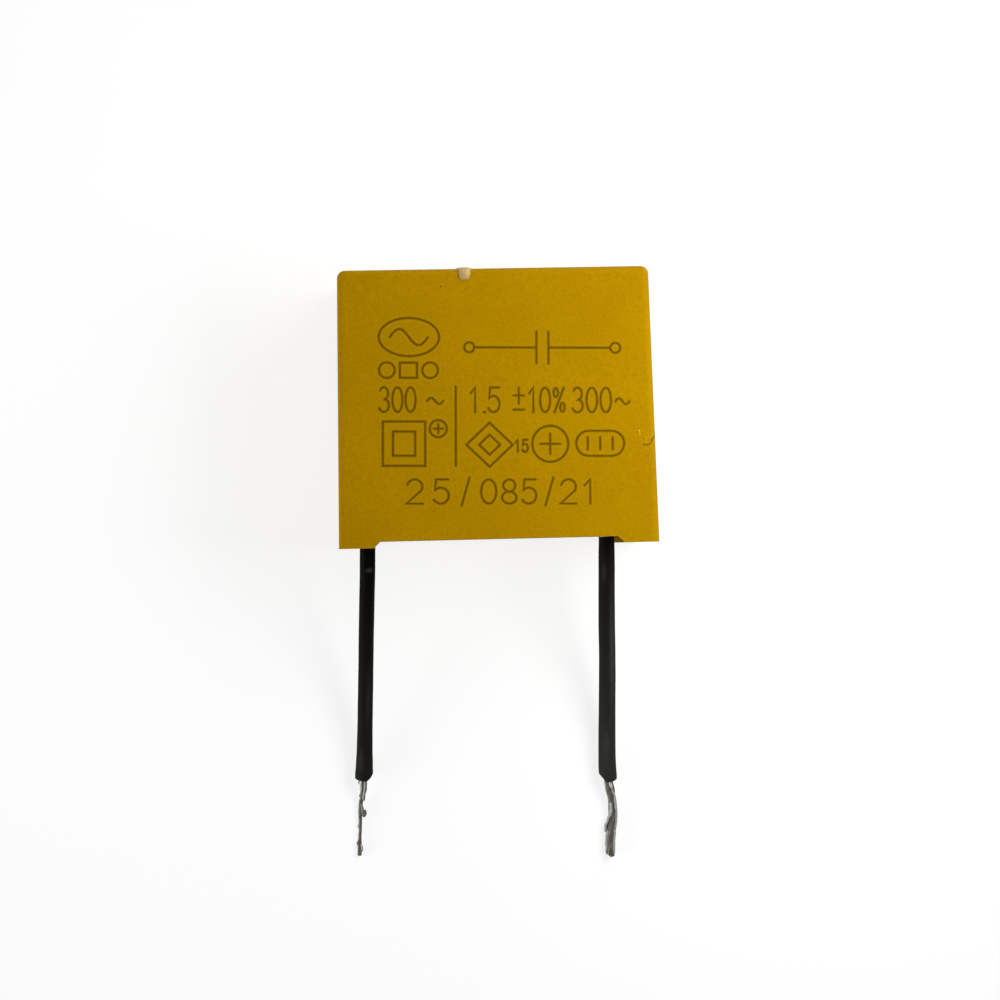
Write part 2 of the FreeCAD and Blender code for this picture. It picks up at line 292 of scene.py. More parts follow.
# The left insulation is a darker copy of the right one: painted shade on the lead further from the
# key lamps.
sleeve_left_look = black_sleeve("insulation_left", (0.0006, 0.0004, 0.0003),
                                (0.0145, 0.0134, 0.0118))
sleeve_right_look = black_sleeve("insulation_right", (0.0035, 0.0030, 0.0024),
                                 (0.0265, 0.0263, 0.0242))
ink = printing_ink("ink", (0.105, 0.055, 0.0004), (0.155, 0.082, 0.0005))
ink_edge = printing_ink("ink_edge", (0.27, 0.14, 0.0004), (0.31, 0.165, 0.0004))
ink_halo = printing_ink("ink_halo", (0.36, 0.198, 0.0004), (0.39, 0.216, 0.0004))
glue = set_glue()

NODE_LOOKS = {
    "case": case_plastic,
    "potting_resin": resin,
    "film_winding": wound_film(),
    "end_spray_left": sprayed_zinc(),
    "end_spray_right": sprayed_zinc(),
    "solder_joint_left": dull_solder(),
    "solder_joint_right": dull_solder(),
}
for node_name, look in NODE_LOOKS.items():
    for material_slot in nodes[node_name].material_slots:
        material_slot.material = look


# Mesh helpers

def piece(name, places, faces, look, smooth=True):
    """A new piece of the object, from places in millimetres."""
    mesh = bpy.data.meshes.new(name)
    mesh.from_pydata([Vector(place) * MM for place in places], [], faces)
    mesh.polygons.foreach_set("use_smooth", [smooth] * len(mesh.polygons))
    mesh.materials.append(look)
    mesh.update()
    made = bpy.data.objects.new(name, mesh)
    bpy.context.scene.collection.objects.link(made)
    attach(made, "root")
    return made


def circle(around):
    """The angles of a full turn in equal steps."""
    return [2 * math.pi * step / around for step in range(around)]


def tube_faces(rings, around):
    """Faces of a closed skin through rings of points, with a flat cap at each end."""
    faces = []
    for ring in range(rings - 1):
        for step in range(around):
            here = ring * around + step
            beside = ring * around + (step + 1) % around
            faces.append((here, beside, beside + around, here + around))
    faces.append(tuple(reversed(range(around))))
    faces.append(tuple(range((rings - 1) * around, rings * around)))
    return faces


def between(table, value):
    """A smooth reading of a table of (value, result) rows."""
    if value <= table[0][0]:
        return table[0][1]
    for (low, first), (high, second) in zip(table, table[1:]):
        if value <= high:
            share = (value - low) / (high - low)
            share = share * share * (3 - 2 * share)
            return first + (second - first) * share
    return table[-1][1]


def hump(offset, width):
    return math.exp(-(offset / width) ** 2)


def spot(along, long, angle, turned, wide):
    """A soft spot on a round skin, long in millimetres and wide in degrees."""
    round_it = math.remainder(angle - math.radians(turned), 2 * math.pi)
    return hump(along, long) * hump(round_it, math.radians(wide))


def ring_noise(angle, along, scale=1.0):
    """Noise on a round skin, which closes on itself after a full turn."""
    return noise.noise(Vector((scale * math.cos(angle), scale * math.sin(angle), along)))


# Places on the case

FACE_TURN = -math.pi / 2 - DRAFT
LIES_AT = Vector((0, -CASE_HEIGHT / 2, CASE_THICKNESS / 2 * math.cos(DRAFT)))


def laid(place):
    """A place in the standing case (width, thickness, height), where it lies."""
    x, y, z = place
    turned = Vector((x, y * math.cos(FACE_TURN) - z * math.sin(FACE_TURN),
                     y * math.sin(FACE_TURN) + z * math.cos(FACE_TURN)))
    return turned + LIES_AT


def face_level(y):
    """How high the printed face is at a place along Y."""
    foot = laid((0, -CASE_THICKNESS / 2, 0))
    return foot.z - (y - foot.y) * math.tan(2 * DRAFT)


def on_front(x, y, lift):
    """A place on the printed face or the rounded side edge beside it, lifted off the surface."""
    half = CASE_WIDTH / 2 - (y + CASE_HEIGHT / 2) * math.tan(DRAFT)
    past = abs(x) - (half - EDGE_RADIUS)
    if past <= 0:
        return Vector((x, y, face_level(y) + lift))
    turn = math.asin(min(past / EDGE_RADIUS, 1.0))
    reach = EDGE_RADIUS + lift
    side = math.copysign(half - EDGE_RADIUS + reach * math.sin(turn), x)
    return Vector((side, y, face_level(y) - EDGE_RADIUS + reach * math.cos(turn)))


def over_top(x, along, lift):
    """A place past the top edge: along is measured from where the rounded edge starts."""
    edge_turn = math.pi / 2 - DRAFT
    centre_z = CASE_HEIGHT - EDGE_RADIUS
    centre_y = EDGE_RADIUS / math.cos(DRAFT) - CASE_THICKNESS / 2 + centre_z * math.tan(DRAFT)
    turn = min(max(along / EDGE_RADIUS, 0.0), edge_turn)
    beyond = along - turn * EDGE_RADIUS
    out_y = -math.cos(DRAFT + turn)
    out_z = math.sin(DRAFT + turn)
    y = centre_y + (EDGE_RADIUS + lift) * out_y + beyond * out_z
    z = centre_z + (EDGE_RADIUS + lift) * out_z - beyond * out_y
    return laid((x, y, z))


# Resin collars: the resin climbs a little up each lead

# Distance from the sleeve and height above the resin's face
COLLAR_PROFILE = ((0.00, 0.62), (0.03, 0.40), (0.09, 0.22), (0.20, 0.09), (0.36, 0.02),
                  (0.60, -0.03))
COLLAR_GRIP = 0.02


def resin_collar(name, x):
    around = 40
    uneven = 0.15
    start = laid((x, 0, RESIN_DEPTH + DISH_DEPTH))
    places = []
    for beyond, height in COLLAR_PROFILE:
        for angle in circle(around):
            wobble = 1 + uneven * ring_noise(angle, x)
            radius = SLEEVE_RADIUS - COLLAR_GRIP + beyond * wobble
            places.append(start + Vector((radius * math.cos(angle), -height * wobble,
                                          radius * math.sin(angle))))
    piece(name, places, tube_faces(len(COLLAR_PROFILE), around), resin)


# Printing: plain marks and numbers in thin strokes

PRINT_ORIGIN = (0.37, 0.68)
PRINT_TURN = math.radians(-1.25)

# Each layer's name, stroke width, lift off the face and look
PRINT_LAYERS = (
    ("print_halo", 0.80, 0.006, ink_halo),
    ("print_edge", 0.34, 0.010, ink_edge),
    ("print", 0.170, 0.014, ink),
)


def arc(centre, radii, start, stop, steps=18):
    """Points along an elliptical arc, from one angle to another in degrees."""
    angles = [math.radians(start + (stop - start) * step / steps) for step in range(steps + 1)]
    return [(centre[0] + radii[0] * math.cos(angle), centre[1] + radii[1] * math.sin(angle))
            for angle in angles]


def wave(left, right, level, height, steps=20):
    span = right - left
    return [(left + span * step / steps,
             level + height * math.sin(2 * math.pi * step / steps)) for step in range(steps + 1)]


# Strokes of each sign, in a box that is one wide and one high
GLYPHS = {
    "0": [arc((0.5, 0.5), (0.5, 0.5), 90, 450, 28)],
    "1": [[(0.12, 0.76), (0.52, 1.0), (0.52, 0.0)]],
    "2": [arc((0.5, 0.7), (0.47, 0.3), 165, -35) + [(0.0, 0.0), (1.0, 0.0)]],
    "3": [arc((0.46, 0.75), (0.42, 0.25), 150, -80) + arc((0.46, 0.26), (0.5, 0.26), 80, -155)],
    "5": [[(0.92, 1.0), (0.18, 1.0), (0.1, 0.56)] + arc((0.46, 0.33), (0.5, 0.33), 130, -150)],
    "8": [arc((0.5, 0.75), (0.4, 0.25), -90, 270), arc((0.5, 0.25), (0.48, 0.25), 90, 450)],
    "/": [[(0.1, -0.08), (0.9, 1.08)]],
    ".": [[(0.42, 0.0), (0.58, 0.0)]],
    "~": [wave(0.0, 1.0, 0.45, 0.12)],
    "%": [[(0.08, 0.0), (0.92, 1.0)], arc((0.2, 0.8), (0.2, 0.18), 0, 360),
          arc((0.8, 0.2), (0.2, 0.18), 0, 360)],
    "+-": [[(0.5, 0.35), (0.5, 1.0)], [(0.05, 0.68), (0.95, 0.68)], [(0.05, 0.1), (0.95, 0.1)]],
}


def written(signs, base, height):
    """Strokes of a row of signs, given as (name, left side, width)."""
    strokes = []
    for sign, left, width in signs:
        for stroke in GLYPHS[sign]:
            strokes.append([(left + width * x, base + height * y) for x, y in stroke])
    return strokes


def box_outline(left, low, right, high):
    return [(left, low), (right, low), (right, high), (left, high), (left, low)]


def wave_mark():
    """A wave in an oval, and three small outlines below it."""
    strokes = [arc((-9.1, 6.3), (3.0, 1.9), 0, 360, 48), wave(-11.0, -7.2, 6.3, 0.8, 32)]
    strokes += [arc((x, 3.0), (0.78, 0.78), 0, 360, 28) for x in (-11.3, -7.0)]
    strokes.append(box_outline(-10.0, 2.25, -8.3, 3.75))
    return strokes


def plates_mark():
    """Two plates between two terminals."""
    level = 5.3
    return [
        arc((-3.1, level), (0.5, 0.5), 0, 360),
        [(-2.6, level), (3.6, level)],
        [(3.6, level - 1.6), (3.6, level + 1.6)],
        [(4.8, level - 1.6), (4.8, level + 1.6)],
        [(4.8, level), (11.0, level)],
        arc((11.5, level), (0.5, 0.5), 0, 360),
    ]


def row_marks():
    """Plain outlines side by side: squares, small ring, diamonds, ring and capsule."""
    strokes = [
        box_outline(-11.7, -6.5, -7.5, -2.1),
        box_outline(-10.7, -5.5, -8.5, -3.1),
        arc((-6.2, -2.8), (0.85, 0.85), 0, 360, 28),
        [(-6.2, -2.35), (-6.2, -3.25)],
        [(-6.65, -2.8), (-5.75, -2.8)],
        [(-1.1, -2.2), (1.2, -4.4), (-1.1, -6.6), (-3.4, -4.4), (-1.1, -2.2)],
        [(-1.1, -3.4), (-0.05, -4.4), (-1.1, -5.4), (-2.15, -4.4), (-1.1, -3.4)],
        arc((4.95, -4.3), (1.8, 1.8), 0, 360, 36),
        [(4.95, -3.3), (4.95, -5.3)],
        [(3.95, -4.3), (5.95, -4.3)],
    ]
    capsule = arc((11.1, -4.25), (1.25, 1.25), -90, 90) + arc((8.8, -4.25), (1.25, 1.25), 90, 270)
    strokes.append(capsule + capsule[:1])
    strokes += [[(x, -4.85), (x, -3.65)] for x in (8.7, 9.95, 11.2)]
    return strokes


VALUE_ROW = (
    ("3", -12.05, 1.0), ("0", -10.75, 1.0), ("0", -9.45, 1.0), ("~", -7.3, 1.6),
    ("1", -3.1, 1.1), (".", -2.05, 0.9), ("5", -1.25, 1.2), ("+-", 1.25, 1.15),
    ("1", 2.75, 1.0), ("0", 3.95, 1.0), ("%", 5.3, 1.1), ("3", 7.2, 1.05), ("0", 8.6, 1.05),
    ("0", 10.0, 1.05), ("~", 11.5, 1.4),
)
CLASS_ROW = (
    ("2", -9.35, 1.6), ("5", -6.7, 1.6), ("/", -4.0, 1.0), ("0", -1.95, 1.5), ("8", 0.1, 1.5),
    ("5", 2.1, 1.5), ("/", 4.35, 1.0), ("2", 5.95, 1.6), ("1", 8.2, 1.4),
)
SMALL_ROW = (("1", 1.45, 0.5), ("5", 2.15, 0.6))


def all_strokes():
    strokes = wave_mark() + plates_mark() + row_marks()
    strokes += written(VALUE_ROW, -1.15, 2.45)
    strokes += written(CLASS_ROW, -10.25, 2.4)
    strokes += written(SMALL_ROW, -5.1, 1.2)
    strokes.append([(-4.46, 1.4), (-4.46, -6.5)])
    return strokes


def printed(u, v, lift):
    """A place of the print, which sits a little askew on the face."""
    x = PRINT_ORIGIN[0] + u * math.cos(PRINT_TURN) - v * math.sin(PRINT_TURN)
    y = PRINT_ORIGIN[1] + u * math.sin(PRINT_TURN) + v * math.cos(PRINT_TURN)
    return on_front(x, y, lift)


def ribbon(stroke, width, corners, faces):
    """Adds a stroke as a flat band with mitred corners and rounded ends."""
    same_place = 1e-6
    mitre_limit = 0.5
    points = [Vector(point) for point in stroke]
    closed = (points[0] - points[-1]).length < same_place
    if closed:
        points.pop()
    count = len(points)
    rails = []
    for index, point in enumerate(points):
        before = points[index - 1] if closed or index else point
        after = points[(index + 1) % count] if closed or index < count - 1 else point
        into = (point - before).normalized()
        onward = (after - point).normalized()
        ahead = (into + onward).normalized()
        side = Vector((-ahead.y, ahead.x))
        spread = max(abs(side.dot(Vector((-onward.y, onward.x)))),
                     abs(side.dot(Vector((-into.y, into.x)))), mitre_limit)
        rails.extend((point + side * width / 2 / spread, point - side * width / 2 / spread))
    first = len(corners)
    corners.extend(rails)
    links = count if closed else count - 1
    for index in range(links):
        here = first + 2 * index
        after = first + 2 * ((index + 1) % count)
        faces.append((here + 1, after + 1, after, here))
    if closed:
        return
    last = first + 2 * links
    for end, neighbour, start, stop in ((points[0], points[1], first, first + 1),
                                        (points[-1], points[-2], last + 1, last)):
        outward = math.degrees(math.atan2(*(end - neighbour).yx))
        fan = arc(end, (width / 2, width / 2), outward - 90, outward + 90, 8)[1:-1]
        faces.append((start, *range(len(corners), len(corners) + len(fan)), stop))
        corners.extend(Vector(place) for place in fan)


def one_sheet(corners, faces):
    """The same flat area without overlaps, which would shade one another."""
    sliver = 1e-4
    merge_within = 1e-6
    all_cells = 0
    triangles = []
    for first, *others in faces:
        for second, third in zip(others, others[1:]):
            start = corners[first]
            turn = (corners[second] - start).cross(corners[third] - start)
            if abs(turn) > sliver:
                triangles.append((first, second, third) if turn > 0 else (first, third, second))
    points, _, cells, _, _, owners = delaunay_2d_cdt(
        corners, [], triangles, all_cells, merge_within)
    # A cell without an owner lies between the strokes.
    return points, [cell for cell, owner in zip(cells, owners) if owner]


def print_layer(name, width, lift, look):
    """All strokes of the print at one width, as one flat piece."""
    corners = []
    faces = []
    for stroke in all_strokes():
        ribbon(stroke, width, corners, faces)
    corners, faces = one_sheet(corners, faces)
    places = [printed(u, v, lift) for u, v in corners]
    piece(name, places, faces, look, smooth=False)


for layer in PRINT_LAYERS:
    print_layer(*layer)


# Leads: where they leave the resin, then X and Y from there and the height above the ground

LEFT_EXIT = (-13.00, -12.85)
RIGHT_EXIT = (11.65, -12.85)
LEFT_ROUTE = (
    (0.00, 1.80, 8.98),
    (-0.09, -2.90, 8.90),
    (-0.29, -7.60, 6.75),
    (-0.46, -13.35, 4.00),
    (-0.63, -18.50, 2.25),
    (-0.80, -23.55, 1.10),
    (-0.93, -25.90, 0.98),
    (-1.36, -28.40, 0.30),
    (-1.37, -30.40, 0.24),
    (-1.52, -32.40, 0.24),
    (-1.54, -33.72, 0.24),
)
RIGHT_ROUTE = (
    (0.00, 1.80, 8.98),
    (-0.08, -3.60, 8.88),
    (0.04, -8.20, 6.65),
    (0.29, -13.15, 4.15),
    (0.35, -18.50, 2.25),
    (0.33, -23.75, 1.10),
    (0.38, -26.20, 0.98),
    (1.05, -29.60, 0.48),
    (0.50, -32.80, 0.45),
    (0.52, -34.66, 0.45),
)


class Line:
    """A smooth line, read by the distance along it in millimetres."""

    def __init__(self, name, leave, route):
        curve = bpy.data.curves.new(f"{name}_line", "CURVE")
        curve.dimensions = "3D"
        curve.resolution_u = 30
        spline = curve.splines.new("NURBS")
        spline.points.add(len(route) - 1)
        for point, (along, out, height) in zip(spline.points, route):
            point.co = (leave[0] + along, leave[1] + out, height, 1.0)
        spline.order_u = 3
        spline.use_endpoint_u = True
        carrier = bpy.data.objects.new(f"{name}_line", curve)
        read = bpy.data.meshes.new_from_object(carrier)
        self.places = [vertex.co.copy() for vertex in read.vertices]
        bpy.data.objects.remove(carrier)
        bpy.data.curves.remove(curve)
        bpy.data.meshes.remove(read)
        self.reached = [0.0]
        for before, after in zip(self.places, self.places[1:]):
            self.reached.append(self.reached[-1] + (after - before).length)
        self.length = self.reached[-1]

    def place(self, distance):
        """The place at a distance, straight on where that is past an end."""
        index = min(max(bisect_right(self.reached, distance) - 1, 0), len(self.places) - 2)
        low, high = self.reached[index], self.reached[index + 1]
        share = (distance - low) / (high - low)
        return self.places[index].lerp(self.places[index + 1], share)

    def across(self, distance):
        """Two directions across the line, one to the right seen from above and one upwards."""
        step = 0.3
        ahead = (self.place(distance + step) - self.place(distance - step)).normalized()
        right = Vector((0, 0, 1)).cross(ahead).normalized()
        return right, ahead.cross(right)

    def beside(self, distance, angle, radius):
        right, up = self.across(distance)
        offset = right * math.cos(angle) + up * math.sin(angle)
        return self.place(distance) + offset * radius

    def distance_to(self, y):
        """How far along the line it comes to a place on the Y axis."""
        index = next(i for i, place in enumerate(self.places) if place.y <= y)
        share = (self.places[index - 1].y - y) / (self.places[index - 1].y - self.places[index].y)
        return self.reached[index - 1] + share * (self.reached[index] - self.reached[index - 1])


def above_ground(place):
    return Vector((place.x, place.y, max(place.z, 0.0)))


def paint(made, **attributes):
    """Gives a piece numbers at its points, for its material to read."""
    for name, values in attributes.items():
        layer = made.data.attributes.new(name, "FLOAT", "POINT")
        layer.data.foreach_set("value", values)


def sleeve(name, line, start, end, cut_back, widths, flatter, rubs, look):
    """Insulation from one distance to another, with a rough cut end and a short bore."""
    around = 48
    stations = 150
    dent = 0.02
    lip = 0.11
    lip_steps = 6
    bore = 0.42
    bore_mouth = 0.02
    bore_depth = 1.2
    # Share of the length, distance past it, and inset from the outside, or none in the bore
    profile = [(step / stations, 0.0, 0.0) for step in range(stations + 1)]
    for step in range(1, lip_steps + 1):
        turn = math.pi / 2 * step / lip_steps
        profile.append((1.0, lip * math.sin(turn), lip * (1 - math.cos(turn))))
    profile += [(1.0, lip - bore_mouth, None), (1.0, lip - bore_depth, None)]
    places = []
    dust = []
    rub = []
    for share, past, inset in profile:
        for angle in circle(around):
            finish = end - cut_back(angle) - lip
            distance = start + share * (finish - start)
            to_end = end - distance
            dented = dent * ring_noise(angle, distance * 0.35 + start)
            radius = between(widths, to_end) * (1 + dented)
            radius *= 1 - flatter * abs(math.sin(angle)) ** 3
            radius = bore if inset is None else radius - inset
            places.append(above_ground(line.beside(distance + past, angle, radius)))
            # Painted shade near the case: 0 at the case end, rising to 1 at the cut end.
            dust.append(min(max(1 - to_end / (end - start), 0.0), 1.0))
            # Rubbed places and painted highlight streaks along the top of the sleeve.
            rub.append(sum(strength * spot(to_end - at, long, angle, turned, wide)
                           for at, turned, long, wide, strength in rubs))
    made = piece(name, places, tube_faces(len(profile), around), look)
    paint(made, dust=dust, rub=rub)
    return made


def wire(name, line, bare_from, widths, lumps, strands, stained, slant=0.0):
    """Tinned strands twisted round a line, with lumps of solder and a slanting tip.

    Returns the piece and the places along its middle in metres.
    """
    around = 64
    spacing = 0.07
    tip = 0.10
    slant_reach = 0.6
    twist = 0.35
    furrow = 0.12
    coarse = 0.10
    stations = int(line.length / spacing)
    places = []
    stain = []
    path = []
    for station in range(stations + 1):
        distance = line.length * station / stations
        bare = distance - bare_from
        half = between(widths, bare)
        left = line.length - distance
        if left < tip:
            half *= math.sqrt(max(1 - (1 - left / tip) ** 2, 0.25))
        path.append(line.place(distance) * MM)
        for angle in circle(around):
            rib = abs(math.cos(strands * (angle - twist * distance) / 2)) ** 0.6
            radius = half * (1 - furrow + furrow * rib)
            grain = ring_noise(angle, distance * 1.3 + strands, scale=1.2)
            radius *= 1 + coarse * grain
            radius += sum(height * spot(bare - at, long, angle, turned, wide)
                          for at, turned, height, long, wide in lumps)
            back = slant * max(1 - left / slant_reach, 0) * max(-math.cos(angle), 0)
            places.append(above_ground(line.beside(distance - back, angle, radius)))
            # Painted shade with flux stain: darkest at the given angle, on top, paler round the
            # sides and underneath, with grain mixed in.
            side = math.cos(angle - math.radians(stained))
            stain.append(min(max(0.55 + 0.75 * side + 0.9 * grain, 0.0), 1.0))
    made = piece(name, places, tube_faces(stations + 1, around), tinned_wire)
    paint(made, stain=stain)
    return made, path


def strand(name, line, points, radius, look):
    """A loose strand beside a line, through (distance, right, up) points."""
    around = 14
    steps = 26
    tip_share = 0.45
    coarse = 0.12
    sideways = [(at, right) for at, right, _ in points]
    upwards = [(at, up) for at, _, up in points]
    places = []
    for step in range(steps + 1):
        share = step / steps
        distance = points[0][0] + share * (points[-1][0] - points[0][0])
        right, up = line.across(distance)
        middle = (line.place(distance) + between(sideways, distance) * right
                  + between(upwards, distance) * up)
        from_end = min(share, 1 - share) * steps / 2
        thick = radius * min(1.0, tip_share + (1 - tip_share) * from_end)
        thick *= 1 + coarse * noise.noise(Vector((distance * 3, radius * 50, 0)))
        for angle in circle(around):
            round_it = right * math.cos(angle) + up * math.sin(angle)
            places.append(above_ground(middle + round_it * thick))
    return piece(name, places, tube_faces(steps + 1, around), look)


LEFT_CUT_Y = -38.45
RIGHT_CUT_Y = -39.32
SLEEVE_START = 1.0

left_line = Line("left", LEFT_EXIT, LEFT_ROUTE)
right_line = Line("right", RIGHT_EXIT, RIGHT_ROUTE)
left_cut = left_line.distance_to(LEFT_CUT_Y)
right_cut = right_line.distance_to(RIGHT_CUT_Y)


def left_end(angle):
    """How far the cut end of the left sleeve stands back, round the sleeve."""
    side = math.cos(angle)
    return 0.70 * max(side, 0) ** 2.8 + 0.10 * max(-side, 0) ** 2


def right_end(angle):
    """How far the cut end of the right sleeve stands back: slanted on its left."""
    side = math.cos(angle)
    return 1.30 * max(-side - 0.36, 0) + 0.20 * max(side - 0.55, 0)


# Distance from the cut end and radius there
LEFT_SLEEVE_WIDTHS = ((0.0, 0.94), (0.6, 0.95), (1.6, 0.90), (3.5, 0.84), (6.0, 0.805),
                      (14.0, 0.795), (24.0, 0.80), (28.0, 0.80))
RIGHT_SLEEVE_WIDTHS = ((0.0, 0.93), (0.8, 0.955), (3.0, 0.92), (9.0, 0.89), (16.0, 0.875),
                       (24.0, 0.85), (28.0, 0.815))

# Rubbed places and painted highlight streaks along the top: distance from the cut end, angle,
# length, width in degrees and strength
LEFT_RUBS_AND_SHEEN = ((23.9, 75, 0.16, 22, 0.9), (9.0, 70, 3.0, 14, 0.25), (2.2, 120, 1.2, 20, 0.2))
RIGHT_RUBS_AND_SHEEN = ((15.0, 62, 7.0, 16, 0.55), (4.0, 100, 2.0, 20, 0.3), (24.0, 115, 1.0, 15, 0.25))

insulation_left = sleeve("insulation_left", left_line, SLEEVE_START, left_cut, left_end,
                         LEFT_SLEEVE_WIDTHS, 0.03, LEFT_RUBS_AND_SHEEN, sleeve_left_look)
insulation_right = sleeve("insulation_right", right_line, SLEEVE_START, right_cut, right_end,
                          RIGHT_SLEEVE_WIDTHS, 0.02, RIGHT_RUBS_AND_SHEEN, sleeve_right_look)

# Bare distance and radius there, then lumps: bare distance, angle, height, length and width
LEFT_WIDTHS = ((-0.5, 0.28), (0.4, 0.25), (1.6, 0.22), (2.5, 0.23), (3.4, 0.22), (4.3, 0.20),
               (5.2, 0.175), (6.2, 0.175), (7.0, 0.22), (8.0, 0.235))
LEFT_LUMPS = (
    (1.75, 180, 0.07, 0.16, 40),
    (2.10, 180, -0.07, 0.12, 40),
    (3.50, 0, 0.14, 0.30, 40),
    (5.10, 185, 0.12, 0.16, 35),
    (6.90, 180, 0.13, 0.24, 45),
)
RIGHT_WIDTHS = ((-0.5, 0.42), (0.0, 0.44), (0.8, 0.49), (2.0, 0.43), (2.6, 0.45), (3.6, 0.48),
                (5.4, 0.50), (6.4, 0.48), (7.2, 0.51), (8.2, 0.48))
RIGHT_LUMPS = (
    (1.0, 60, 0.06, 0.35, 30),
    (6.4, 50, 0.04, 0.30, 25),
    (3.0, 130, 0.04, 0.60, 30),
)

wire_left, left_path = wire("lead_wire_left", left_line, left_cut, LEFT_WIDTHS, LEFT_LUMPS,
                            3, 95)
wire_right, right_path = wire("lead_wire_right", right_line, right_cut, RIGHT_WIDTHS,
                              RIGHT_LUMPS, 9, 90, slant=0.3)

# Strands beside a line: its name, radius and look, then (bare distance, right, up) points
LEFT_STRANDS = (
    ("strand_left_nub", 0.11, brown_tin, ((-0.5, -0.34, 0.10), (0.0, -0.42, 0.10),
                                         (0.45, -0.46, 0.06))),
    ("strand_left_bright", 0.14, tin_painted_highlight, ((-0.6, -0.20, 0.20), (0.3, -0.29, 0.22),
                                              (1.15, -0.19, 0.14))),
    ("strand_left_grey", 0.12, grey_tin, ((-0.6, 0.12, 0.18), (0.3, 0.14, 0.20),
                                          (1.0, 0.20, 0.16), (2.25, 0.18, 0.12))),
    ("strand_left_outer", 0.10, dark_tin, ((-0.6, 0.26, 0.10), (0.3, 0.30, 0.12),
                                           (1.0, 0.34, 0.10), (1.6, 0.28, 0.08),
                                           (2.3, 0.32, 0.06))),
    ("strand_left_spur", 0.15, dark_tin, ((2.6, 0.04, 0.12), (3.2, 0.20, 0.14),
                                          (3.95, 0.26, 0.10))),
    ("strand_left_stub", 0.16, brown_tin, ((3.30, 0.46, 0.10), (3.68, 0.53, 0.10),
                                           (4.12, 0.38, 0.08))),
    ("strand_left_tip", 0.12, pale_tin, ((7.0, 0.12, 0.14), (7.3, 0.26, 0.12),
                                         (7.8, 0.24, 0.06))),
)
RIGHT_STRANDS = (
    ("strand_right_outer", 0.16, dark_tin, ((-0.6, -0.34, 0.20), (0.8, -0.36, 0.20),
                                            (1.6, -0.30, 0.20), (2.4, -0.29, 0.18))),
    ("strand_right_first", 0.14, tin_painted_highlight, ((-0.5, 0.00, 0.36), (0.3, 0.10, 0.42),
                                              (0.85, 0.14, 0.38))),
    ("strand_right_second", 0.12, tin_painted_highlight, ((0.80, 0.14, 0.40), (1.1, 0.18, 0.38),
                                               (1.5, 0.22, 0.32))),
    ("strand_right_hook", 0.17, pale_tin, ((2.2, -0.20, 0.28), (3.4, -0.22, 0.34),
                                           (4.3, -0.52, 0.30), (5.0, -0.68, 0.18),
                                           (5.7, -0.61, 0.10))),
    ("strand_right_long", 0.16, pale_tin, ((1.2, 0.26, 0.24), (2.6, 0.28, 0.30),
                                           (4.4, 0.33, 0.26), (5.4, 0.34, 0.24))),
    ("strand_right_side", 0.18, pale_tin, ((5.2, 0.34, 0.20), (6.6, 0.33, 0.26),
                                           (8.05, 0.34, 0.22))),
    ("strand_right_low", 0.17, grey_tin, ((5.2, -0.26, 0.16), (5.6, -0.34, 0.18),
                                          (6.1, -0.43, 0.20), (6.8, -0.43, 0.20),
                                          (7.7, -0.36, 0.18))),
)


def strands_along(line, cut, table):
    return [strand(name, line, [(cut + bare, *offset) for bare, *offset in points], radius, look)
            for name, radius, look, points in table]


left_strands = strands_along(left_line, left_cut, LEFT_STRANDS)
right_strands = strands_along(right_line, right_cut, RIGHT_STRANDS)

resin_collar("resin_collar_left", LEFT_EXIT[0])
resin_collar("resin_collar_right", RIGHT_EXIT[0])

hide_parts("lead_conductor_left")
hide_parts("lead_conductor_right")
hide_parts("lead_insulation_left")
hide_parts("lead_insulation_right")

for cord, path, leave, length, others in (
        (wire_left, left_path, LEFT_EXIT, 35.0, [insulation_left, *left_strands]),
        (wire_right, right_path, RIGHT_EXIT, 36.0, [insulation_right, *right_strands])):
    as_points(path)
    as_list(others)


# Glue bead: hangs over the top edge and spreads a little on the closed top

GLUE_X = -2.92
GLUE_LOW = -0.40
GLUE_HIGH = 2.3
GLUE_CENTRE = 0.55
GLUE_SUNK = 0.012

# Distance over the edge, then half the width and the thickness of the bead there
GLUE_WIDTHS = ((GLUE_LOW, 0.56), (0.5, 0.61), (0.9, 0.66), (1.2, 0.84), (1.9, 0.86),
               (GLUE_HIGH, 0.70))
GLUE_CRESTS = ((GLUE_LOW, 0.42), (0.3, 0.40), (1.2, 0.16), (GLUE_HIGH, 0.12))


def blunt(value, power):
    """A sine or cosine, bent towards a squarer outline and with its sign kept."""
    return math.copysign(abs(value) ** power, value)


def glue_drop():
    around = 56
    rings = 18
    places = []
    for ring in range(rings + 1):
        share = ring / rings
        for angle in circle(around):
            over = blunt(math.sin(angle), 0.8)
            sideways = blunt(math.cos(angle), 0.45)
            reach = (GLUE_HIGH - GLUE_CENTRE) if over > 0 else (GLUE_CENTRE - GLUE_LOW)
            along = GLUE_CENTRE + share * reach * over
            wide = between(GLUE_WIDTHS, GLUE_CENTRE + reach * over)
            wide *= 1 + 0.06 * ring_noise(angle, 4.0)
            x = GLUE_X + share * wide * sideways
            lift = between(GLUE_CRESTS, along) * math.sqrt(max(1 - share ** 2, 0)) - GLUE_SUNK
            lift += 0.02 * noise.noise(Vector((x * 2.5, along * 2.5, 1.0))) * (1 - share)
            places.append(over_top(x, along, lift))
    faces = []
    for ring in range(rings):
        for step in range(around):
            here = ring * around + step
            beside = ring * around + (step + 1) % around
            if ring:
                faces.append((here, here + around, beside + around, beside))
            else:
                faces.append((step, here + around, beside + around))
    made = piece("glue_drop", places, faces, glue)
    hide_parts("glue_bead")


glue_drop()


# Scuff near the right edge with a painted shadow line along its score and pale specks, and two
# dark flecks in the plastic

